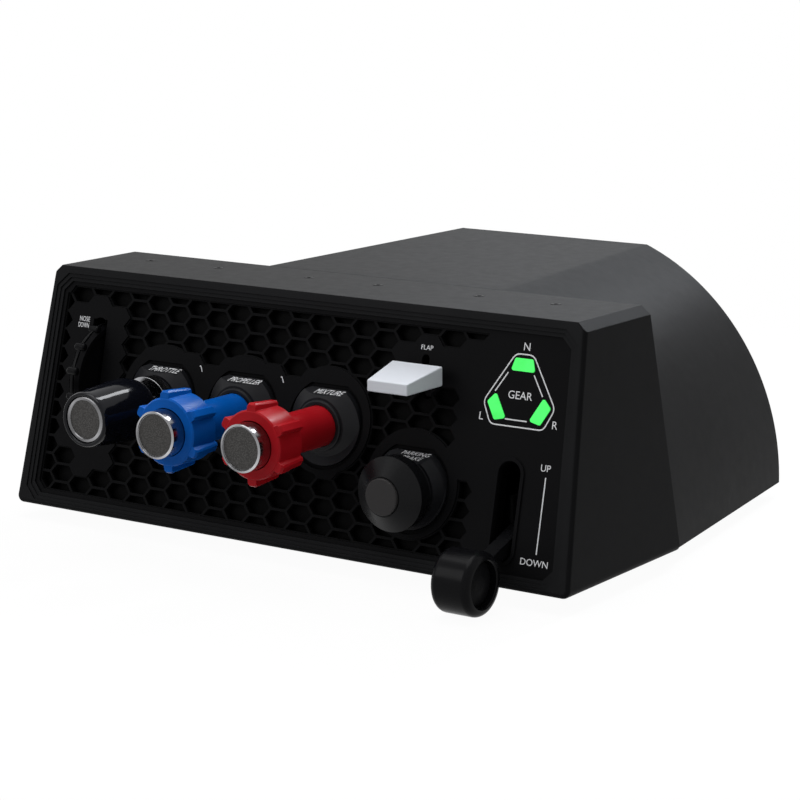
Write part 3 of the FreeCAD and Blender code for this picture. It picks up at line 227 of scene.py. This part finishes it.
def metal(name, colour, rough, stretch=(1.0, 1.0, 1.0), scale=700.0, depth=0.00002, shading=None):
    """Metal with fine turning or drawing marks along one direction; shading(nodes), where given, tones its
    colour with painted light.
    """
    n = Nodes(name)
    mapping = n.add("ShaderNodeMapping")
    mapping.inputs["Scale"].default_value = stretch
    n.link(n.place, mapping.inputs["Vector"])
    marks = n.noise(scale, 3.0, place=mapping.outputs["Vector"])
    tone = n.ramp(marks, [(0.2, shade(colour, 0.9)), (0.8, shade(colour, 1.05))])
    n.feed("Base Color", n.tinted(tone, shading(n)) if shading else tone)
    n.feed("Roughness", n.spread(marks, rough * 0.75, rough * 1.25))
    n.feed("Normal", n.bump(marks, depth, 0.6))
    n.set(Metallic=1.0)
    return n.material


def lamp_lens(name):
    """Lit green lens, bright on its face and deeper where it turns towards its sides."""
    n = Nodes(name)
    cloud = n.noise(90.0, 2.0)
    n.feed("Base Color", n.ramp(cloud, [(0.3, (0.01, 0.35, 0.05)), (0.7, (0.02, 0.5, 0.08))]))
    n.feed("Emission Color", n.ramp(cloud, [(0.3, (0.03, 0.66, 0.075)), (0.7, (0.05, 0.8, 0.105))]))
    n.feed("Normal", n.bump(n.noise(1500.0, 1.0), 0.00003))
    normal = n.add("ShaderNodeNewGeometry").outputs["Normal"]
    n.feed("Emission Strength", n.spread(n.along(normal, OUT_OF_FACE), 0.3, 1.0, 0.35, 0.97))
    n.set(Roughness=0.3)
    return n.material


def ink(name, colour):
    """Matt printing ink."""
    n = Nodes(name)
    n.feed("Base Color", n.ramp(n.noise(900.0), [(0.3, shade(colour, 0.93)), (0.7, shade(colour, 1.0))]))
    n.feed("Roughness", n.spread(n.noise(400.0), 0.5, 0.65))
    return n.material


def cap_face(name, colour, rough):
    """Cast stipple of the cap inlays."""
    n = Nodes(name)
    dots = n.voronoi(1500.0)
    n.feed("Base Color", n.ramp(dots, [(0.1, shade(colour, 1.25)), (0.6, shade(colour, 0.6))]))
    n.feed("Roughness", n.spread(n.noise(500.0), rough - 0.08, rough + 0.08))
    n.feed("Normal", n.bump(dots, 0.00018, 0.8))
    n.set(Metallic=0.85)
    return n.material


MATERIALS = {
    # housing_black carries painted light: its faces that look out of the panel are made paler.
    "housing_black": plastic("housing_black", (0.0078, 0.0079, 0.0084), 0.42, 0.00002, 2600.0,
                             specular=0.02, shading=front_painted_light),
    # panel_black carries painted shade, darker towards the floor of the honeycomb cells.
    "panel_black": plastic("panel_black", (0.0045, 0.0045, 0.005), 0.5, 0.00003, 2400.0,
                           specular=0.03, shading=cell_painted_shade),
    "collar_black": plastic("collar_black", (0.0105, 0.0107, 0.0124), 0.4, 0.00003, 2600.0, specular=0.12),
    "knob_black": plastic("knob_black", (0.004, 0.0045, 0.007), 0.08, 0.000002, 3000.0, specular=0.16),
    "knob_blue": plastic("knob_blue", (0.0015, 0.105, 0.47), 0.3, 0.00003, 2200.0, specular=0.08),
    "knob_red": plastic("knob_red", (0.42, 0.008, 0.014), 0.3, 0.00003, 2200.0, specular=0.08),
    # cap_silver and chrome_trim carry a painted reflection: bright and dark sectors round their rims.
    "cap_silver": metal("cap_silver", (0.33, 0.33, 0.34), 0.24, shading=rim_painted_reflection),
    "chrome_trim": metal("chrome_trim", (0.5, 0.5, 0.52), 0.16, (1, 12, 1), 500.0, 0.00001, rim_painted_reflection),
    "disc_grey": plastic("disc_grey", (0.03, 0.0285, 0.029), 0.5, 0.00006, 1900.0, specular=0.15),
    "paddle_white": plastic("paddle_white", (0.76, 0.79, 0.85), 0.4, 0.00003, 2600.0,
                            specular=0.3, patch=0.03),
    "wheel_black": plastic("wheel_black", (0.0042, 0.0042, 0.005), 0.24, 0.00001, 2600.0, specular=0.06),
    "lever_black": plastic("lever_black", (0.0055, 0.0056, 0.0064), 0.28, 0.00001, 2600.0, specular=0.1),
    "steel": metal("steel", (0.55, 0.55, 0.57), 0.25, (1, 20, 1)),
    "brass": metal("brass", (0.72, 0.52, 0.24), 0.28, (1, 14, 1)),
    "screw_black": plastic("screw_black", (0.006, 0.006, 0.0064), 0.4, 0.00001, 2600.0, specular=0.03),
    "foot_rubber": plastic("foot_rubber", (0.012, 0.012, 0.012), 0.7, 0.00008, 1500.0, specular=0.2),
    "lens_green": lamp_lens("lens_green"),
    "board_green": plastic("board_green", (0.01, 0.09, 0.03), 0.35, 0.00002, 1200.0),
    "inner_black": plastic("inner_black", (0.01, 0.01, 0.011), 0.55, 0.00006, 1800.0, specular=0.15),
    "gear_white": plastic("gear_white", (0.6, 0.6, 0.56), 0.4, 0.00002, 2000.0),
}
INK_WHITE = ink("ink_white", (0.85, 0.86, 0.88))
CAP_STIPPLE = cap_face("cap_stipple", (0.06, 0.058, 0.056), 0.42)


SOFT_EDGES = {                      # node: width of its moulded edges, segments
    "front_housing": (0.0005, 2),
    "rear_housing": (0.0006, 2),
    "front_panel": (0.00022, 1),
    "propeller_knob": (0.0009, 3),
    "mixture_knob": (0.0009, 3),
    "throttle_knob": (0.0003, 2),
    "gear_lever": (0.0009, 3),
    "brake_knob": (0.0005, 2),
    "trim_wheel": (0.0004, 2),
    "throttle_collar": (0.0005, 2),
    "propeller_collar": (0.0005, 2),
    "mixture_collar": (0.0005, 2),
    "brake_collar": (0.0005, 2),
    "gear_wheel_knob": (0.0006, 2),
    "gear_light_nose": (0.0005, 3),
    "gear_light_left": (0.0005, 3),
    "gear_light_right": (0.0005, 3),
    "throttle_cap": (0.0003, 2),
    "propeller_button": (0.0004, 2),
    "mixture_button": (0.0004, 2),
    "throttle_ferrule": (0.0003, 2),
}


def finish_nodes():
    """Every CAD node gets its slot's material, and crisp moulded edges where light catches them."""
    slots = {part["node"]: part["material_slot"] for part in frame["record"]["subparts"]}
    for name, obj in frame["nodes"].items():
        obj.data.materials.clear()
        obj.data.materials.append(MATERIALS[slots[name]])
        weld = obj.modifiers.new("weld", "WELD")
        weld.merge_threshold = NODE_WELD
        if name in SOFT_EDGES:
            bevel = obj.modifiers.new("moulded_edges", "BEVEL")
            bevel.width, bevel.segments = SOFT_EDGES[name]
            bevel.limit_method = "ANGLE"
            bevel.angle_limit = SHARP_EDGE
            bevel.harden_normals = False
            bevel.use_clamp_overlap = True
        smooth = obj.modifiers.new("shading", "WEIGHTED_NORMAL")
        smooth.keep_sharp = False


# ---- pieces --------------------------------------------------------------------------
def add_object(name, data, material, body="console"):
    """New object that moves with a body."""
    obj = bpy.data.objects.new(name, data)
    bpy.context.scene.collection.objects.link(obj)
    data.materials.append(material)
    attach(obj, body)
    return obj


def text(name, words, place, height, width=None, shear=0.0, weight=0.0):
    """Printed legend, its middle at place; height is that of its capitals, width its whole length."""
    curve = bpy.data.curves.new(name, "FONT")
    curve.body = words
    curve.size = height * CAP_TO_SIZE
    curve.shear = shear
    curve.align_x = "CENTER"
    curve.align_y = "CENTER"
    curve.extrude = FOIL
    curve.offset = height * weight
    curve.resolution_u = 3
    obj = add_object(name, curve, INK_WHITE)
    stretch = 1.0
    if width:
        bpy.context.view_layer.update()
        stretch = width / obj.dimensions.x
    obj.matrix_world = place @ Matrix.Diagonal((stretch, 1, 1, 1))
    return obj


def facet_matrix(collar, chord_v, along):
    """Frame on a collar's label facet: X across, Y up the facet, along metres before its rear edge."""
    edge = on_panel(middle(collar).x + LEGEND_SHIFT, chord_v, 0)
    slope = Matrix.Rotation(FACET_SLOPE, 4, "X")
    return Matrix.Translation(edge) @ slope @ Matrix.Translation((0, -along, INK))


def line(name, points, closed=False, half=LINE):
    """Printed line through points (x, v) on the panel."""
    curve = bpy.data.curves.new(name, "CURVE")
    curve.dimensions = "3D"
    curve.bevel_depth = half
    curve.bevel_resolution = 2
    spline = curve.splines.new("POLY")
    spline.points.add(len(points) - 1)
    for point, (x, v) in zip(spline.points, points):
        point.co = (x, v, 0, 1)
    spline.use_cyclic_u = closed
    obj = add_object(name, curve, INK_WHITE)
    obj.matrix_world = face_matrix(0, 0) @ Matrix.Diagonal((1, 1, 0.12, 1))
    return obj


def rounded(points, radius, steps=5):
    """Outline with its corners rounded off."""
    result = []
    count = len(points)
    for i in range(count):
        before, here, after = (Vector(points[(i + k) % count]) for k in (-1, 0, 1))
        start = here + (before - here).normalized() * radius
        stop = here + (after - here).normalized() * radius
        for k in range(steps + 1):
            t = k / steps
            result.append(tuple((1 - t) ** 2 * start + 2 * t * (1 - t) * here + t ** 2 * stop))
    return result


PANEL_LEGENDS = (                   # name, words, x, v up the panel, height of the capitals
    ("legend_flap", "FLAP", 0.0815, 0.1160, 0.0026),
    ("legend_gear", "GEAR", 0.1405, 0.0976, 0.0042),
    ("legend_n", "N", 0.1412, 0.1224, 0.0042),
    ("legend_l", "L", 0.1190, 0.0850, 0.0042),
    ("legend_r", "R", 0.1625, 0.0850, 0.0042),
    ("legend_up", "UP", 0.1605, 0.0632, 0.0036),
    ("legend_gear_down", "DOWN", 0.1605, 0.0155, 0.0036),
)
GEAR_OUTLINE = ((0.1352, 0.1186), (0.1458, 0.1186), (0.1616, 0.0930), (0.1562, 0.0818),
                (0.1248, 0.0818), (0.1194, 0.0930))
GEAR_CORNER = 0.0028                # radius of the outline's corners
PAINTED_GLINT_X = (-0.0634, -0.0079)         # painted highlights: short white marks between the engine controls, up and right of the throttle and propeller collars
PAINTED_GLINT_LINE = 0.00032


def build_legends():
    """Function legends, the outline round the gear lamps, the lever's travel line and two painted
    highlights by the collars.
    """
    text("legend_nose", "NOSE", face_matrix(-0.1502, 0.1087), 0.0029, width=0.0074, weight=0.004)
    text("legend_down", "DOWN", face_matrix(-0.1506, 0.1052), 0.0029, width=0.0078, weight=0.004)
    for name, words, x, v, height in PANEL_LEGENDS:
        text(name, words, face_matrix(x, v), height)
    line("travel_line", [(0.1612, 0.0200), (0.1612, 0.0588)])
    line("gear_outline", rounded(GEAR_OUTLINE, GEAR_CORNER), closed=True)
    line("gear_inner_left", [(0.1320, 0.1088), (0.1256, 0.0986)])
    line("gear_inner_right", [(0.1472, 0.1088), (0.1536, 0.0986)])
    line("gear_inner_low", [(0.1332, 0.0852), (0.1462, 0.0852)])
    # Painted highlight: short bent white marks in ink, up and right of the throttle and propeller collars.
    for i, x in enumerate(PAINTED_GLINT_X):
        bend = [(x - 0.0010, 0.0908), (x - 0.0004, 0.0912), (x + 0.0010, 0.0882)]
        line(f"painted_glint_{i}", bend, half=PAINTED_GLINT_LINE)
    for name, words, width in (("throttle", "THROTTLE", 0.0205), ("propeller", "PROPELLER", 0.0208),
                               ("mixture", "MIXTURE", 0.0178)):
        place = facet_matrix(f"{name}_collar", CONTROL_CHORD, 0.0044)
        text(f"legend_{name}", words, place, 0.0052, width, CONTROL_SLANT)
    for i, (words, width) in enumerate((("PARKING", 0.0172), ("BRAKE", 0.0128))):
        place = facet_matrix("brake_collar", BRAKE_CHORD, 0.0028 + 0.0046 * i)
        text(f"legend_brake_{i}", words, place, 0.0036, width, CONTROL_SLANT)


def disc(name, centre, radius, material, body, depth=0.00025, rings=10, count=72):
    """Inlay facing -Y, very slightly domed."""
    mesh = bpy.data.meshes.new(name)
    bm = bmesh.new()
    loops = []
    for i in range(rings + 1):
        share = i / rings
        r = radius * share
        rise = depth * (1 - share ** 2)
        if i == 0:
            loops.append([bm.verts.new(centre + Vector((0, -rise, 0)))])
            continue
        loops.append([bm.verts.new(centre + Vector((r * math.cos(a), -rise, r * math.sin(a))))
                      for a in (2 * math.pi * k / count for k in range(count))])
    for i in range(1, rings + 1):
        for k in range(count):
            n = (k + 1) % count
            if i == 1:
                bm.faces.new((loops[0][0], loops[1][n], loops[1][k]))
            else:
                bm.faces.new((loops[i - 1][k], loops[i - 1][n], loops[i][n], loops[i][k]))
    bmesh.ops.recalc_face_normals(bm, faces=bm.faces)
    bm.to_mesh(mesh)
    bm.free()
    for face in mesh.polygons:
        face.use_smooth = True
    return add_object(name, mesh, material, body)


def build_inlays():
    """Plain stippled inlays in the three caps; rim is the ring left round each, dish its depth."""
    for node, body, rim, dish in (("throttle_cap", "throttle", 0.0017, 0.0008),
                                  ("propeller_button", "propeller_press", 0.0016, 0.0010),
                                  ("mixture_button", "mixture_press", 0.0016, 0.0010)):
        low, high = box(node)
        centre = Vector(((low.x + high.x) / 2, low.y + dish - 0.0001, (low.z + high.z) / 2))
        disc(f"{node}_inlay", centre, (high.x - low.x) / 2 - rim, CAP_STIPPLE, body)


# ---- studio ----------------------------------------------------------------------------
def showing_rays(tree):
    """1 for rays that show the background: to the camera, in gloss and through glass."""
    paths = tree.nodes.new("ShaderNodeLightPath")
    total = paths.outputs["Is Camera Ray"]
    for name in ("Is Glossy Ray", "Is Transmission Ray"):
        either = tree.nodes.new("ShaderNodeMath")
        either.operation = "MAXIMUM"
        tree.links.new(total, either.inputs[0])
        tree.links.new(paths.outputs[name], either.inputs[1])
        total = either.outputs["Value"]
    return total


def lamp(name, place, aim, size, power, colour=(1, 1, 1)):
    """Rectangular softbox at place that looks at aim."""
    data = bpy.data.lights.new(name, "AREA")
    data.shape = "RECTANGLE"
    data.size, data.size_y = size
    data.energy = power
    data.color = colour
    obj = bpy.data.objects.new(name, data)
    bpy.context.scene.collection.objects.link(obj)
    obj.location = place
    obj.rotation_euler = (Vector(aim) - Vector(place)).to_track_quat("-Z", "Y").to_euler()


def build_studio():
    """White backdrop and floor, and softboxes at a plain level."""
    world = bpy.data.worlds.new("studio")
    bpy.context.scene.world = world
    world.use_nodes = True
    tree = world.node_tree
    background = tree.nodes["Background"]
    seen = showing_rays(tree)
    strength = tree.nodes.new("ShaderNodeMapRange")
    strength.inputs["To Min"].default_value = 0.3
    strength.inputs["To Max"].default_value = 1.0
    tree.links.new(seen, strength.inputs["Value"])
    background.inputs["Color"].default_value = (1, 1, 1, 1)
    tree.links.new(strength.outputs["Result"], background.inputs["Strength"])

    floor_mesh = bpy.data.meshes.new("floor")
    bm = bmesh.new()
    bmesh.ops.create_circle(bm, cap_ends=True, segments=96, radius=FLOOR_RADIUS)
    bm.to_mesh(floor_mesh)
    bm.free()
    floor = bpy.data.objects.new("floor", floor_mesh)
    bpy.context.scene.collection.objects.link(floor)
    floor.data.materials.append(floor_material())

    lamp("top_softbox", (-0.1, -0.2, 1.6), (0, -0.05, 0.1), (1.4, 1.0), 13.0)
    lamp("back_softbox", (-0.4, 1.4, 0.95), (0, 0.0, 0.1), (1.0, 0.6), 4.0, (0.86, 0.92, 1.0))
    lamp("back_strip", (0.08, 1.0, 1.38), (-0.12, -0.2, 0.08), (0.3, 0.6), 9.0, (0.95, 0.97, 1.0))
    lamp("edge_strip", (0.2, 1.3, 1.05), (-0.08, -0.15, 0.08), (0.12, 0.5), 11.0, (0.9, 0.94, 1.0))
    lamp("right_softbox", (1.4, 0.2, 0.9), (0.1, 0.0, 0.08), (0.5, 0.9), 0.3, (0.93, 0.96, 1.0))
    lamp("front_fill", (-0.7, -1.3, 0.9), (-0.05, -0.1, 0.08), (0.8, 0.8), 5.5)


def floor_material():
    """White floor that keeps the soft shadow and fades into the white backdrop."""
    material = bpy.data.materials.new("floor_white")
    material.use_nodes = True
    tree = material.node_tree
    nodes = tree.nodes
    shader = nodes["Principled BSDF"]
    shader.inputs["Base Color"].default_value = (0.35, 0.35, 0.35, 1)
    shader.inputs["Roughness"].default_value = 0.8
    shader.inputs["Specular IOR Level"].default_value = 0.1
    glow = nodes.new("ShaderNodeEmission")
    glow.inputs["Strength"].default_value = 1.09
    see_glow = nodes.new("ShaderNodeMath")
    see_glow.operation = "MULTIPLY"
    see_glow.inputs[1].default_value = 0.88
    tree.links.new(showing_rays(tree), see_glow.inputs[0])
    mix = nodes.new("ShaderNodeMixShader")
    tree.links.new(see_glow.outputs["Value"], mix.inputs["Fac"])
    tree.links.new(shader.outputs["BSDF"], mix.inputs[1])
    tree.links.new(glow.outputs["Emission"], mix.inputs[2])
    place = nodes.new("ShaderNodeTexCoord")
    length = nodes.new("ShaderNodeVectorMath")
    length.operation = "LENGTH"
    tree.links.new(place.outputs["Object"], length.inputs[0])
    fade = nodes.new("ShaderNodeMapRange")
    fade.interpolation_type = "SMOOTHSTEP"
    fade.inputs["From Min"].default_value, fade.inputs["From Max"].default_value = FLOOR_FADE
    tree.links.new(length.outputs["Value"], fade.inputs["Value"])
    clear = nodes.new("ShaderNodeBsdfTransparent")
    out = nodes.new("ShaderNodeMixShader")
    tree.links.new(fade.outputs["Result"], out.inputs["Fac"])
    tree.links.new(mix.outputs["Shader"], out.inputs[1])
    tree.links.new(clear.outputs["BSDF"], out.inputs[2])
    tree.links.new(out.outputs["Shader"], nodes["Material Output"].inputs["Surface"])
    return material


def build_camera():
    """Long lens from the front right, a little above the top."""
    data = bpy.data.cameras.new("camera")
    data.lens = 116.8
    data.sensor_width = 36.0
    camera = bpy.data.objects.new("camera", data)
    bpy.context.scene.collection.objects.link(camera)
    camera.location = (0.8149, -1.1842, 0.3613)
    camera.rotation_euler = (math.radians(78.51), 0, math.radians(34.47))
    bpy.context.scene.camera = camera


finish_nodes()
build_legends()
build_inlays()
build_studio()
build_camera()
bpy.context.scene.view_settings.view_transform = "Standard"
